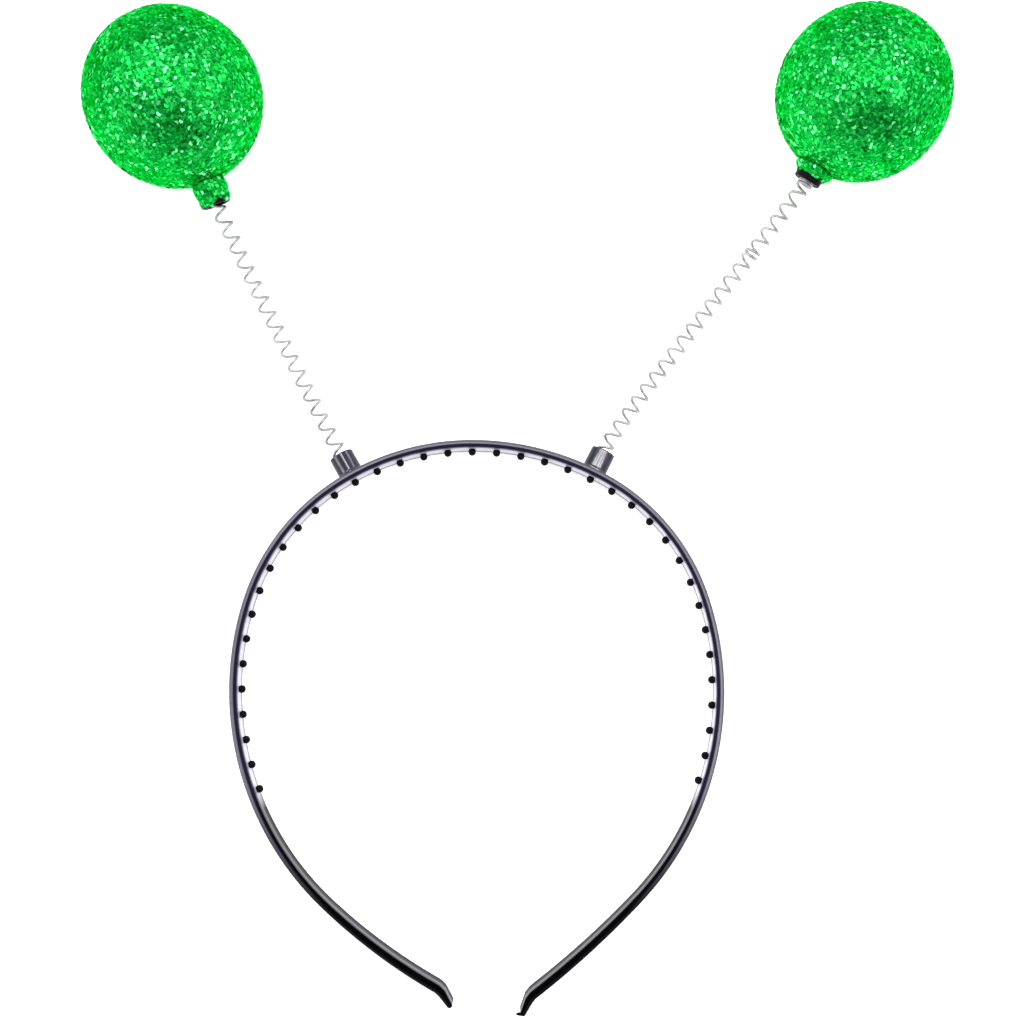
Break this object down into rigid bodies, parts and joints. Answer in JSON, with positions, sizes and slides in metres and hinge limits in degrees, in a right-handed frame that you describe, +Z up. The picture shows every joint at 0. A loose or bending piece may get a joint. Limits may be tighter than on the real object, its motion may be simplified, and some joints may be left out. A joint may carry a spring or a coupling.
{
  "type": "alien antenna headband",
  "caption": "Toothed black plastic headband lying on its edge, with green glitter balls on coil springs that stand off its crown as costume antennas.",
  "frame": {"origin": "on the floor, under the middle of the whole object's box as it lies on its edge", "axes": "+Z up along the band's width, +Y from the open ends to the crown and the antennas, +X across the head"},
  "size_m": [0.2416, 0.2752, 0.0499],
  "materials": {
    "black_plastic": "glossy moulded plastic",
    "silver_wire": "drawn spring wire",
    "green_glitter": "coat of metallic green glitter flakes on a plastic ball"
  },
  "bodies": {
    "root": {"band": "black_plastic", "spring_left": "silver_wire", "ball_left": "green_glitter", "plug_left": "black_plastic", "spring_right": "silver_wire", "ball_right": "green_glitter", "plug_right": "black_plastic"}
  },
  "joints": []
}
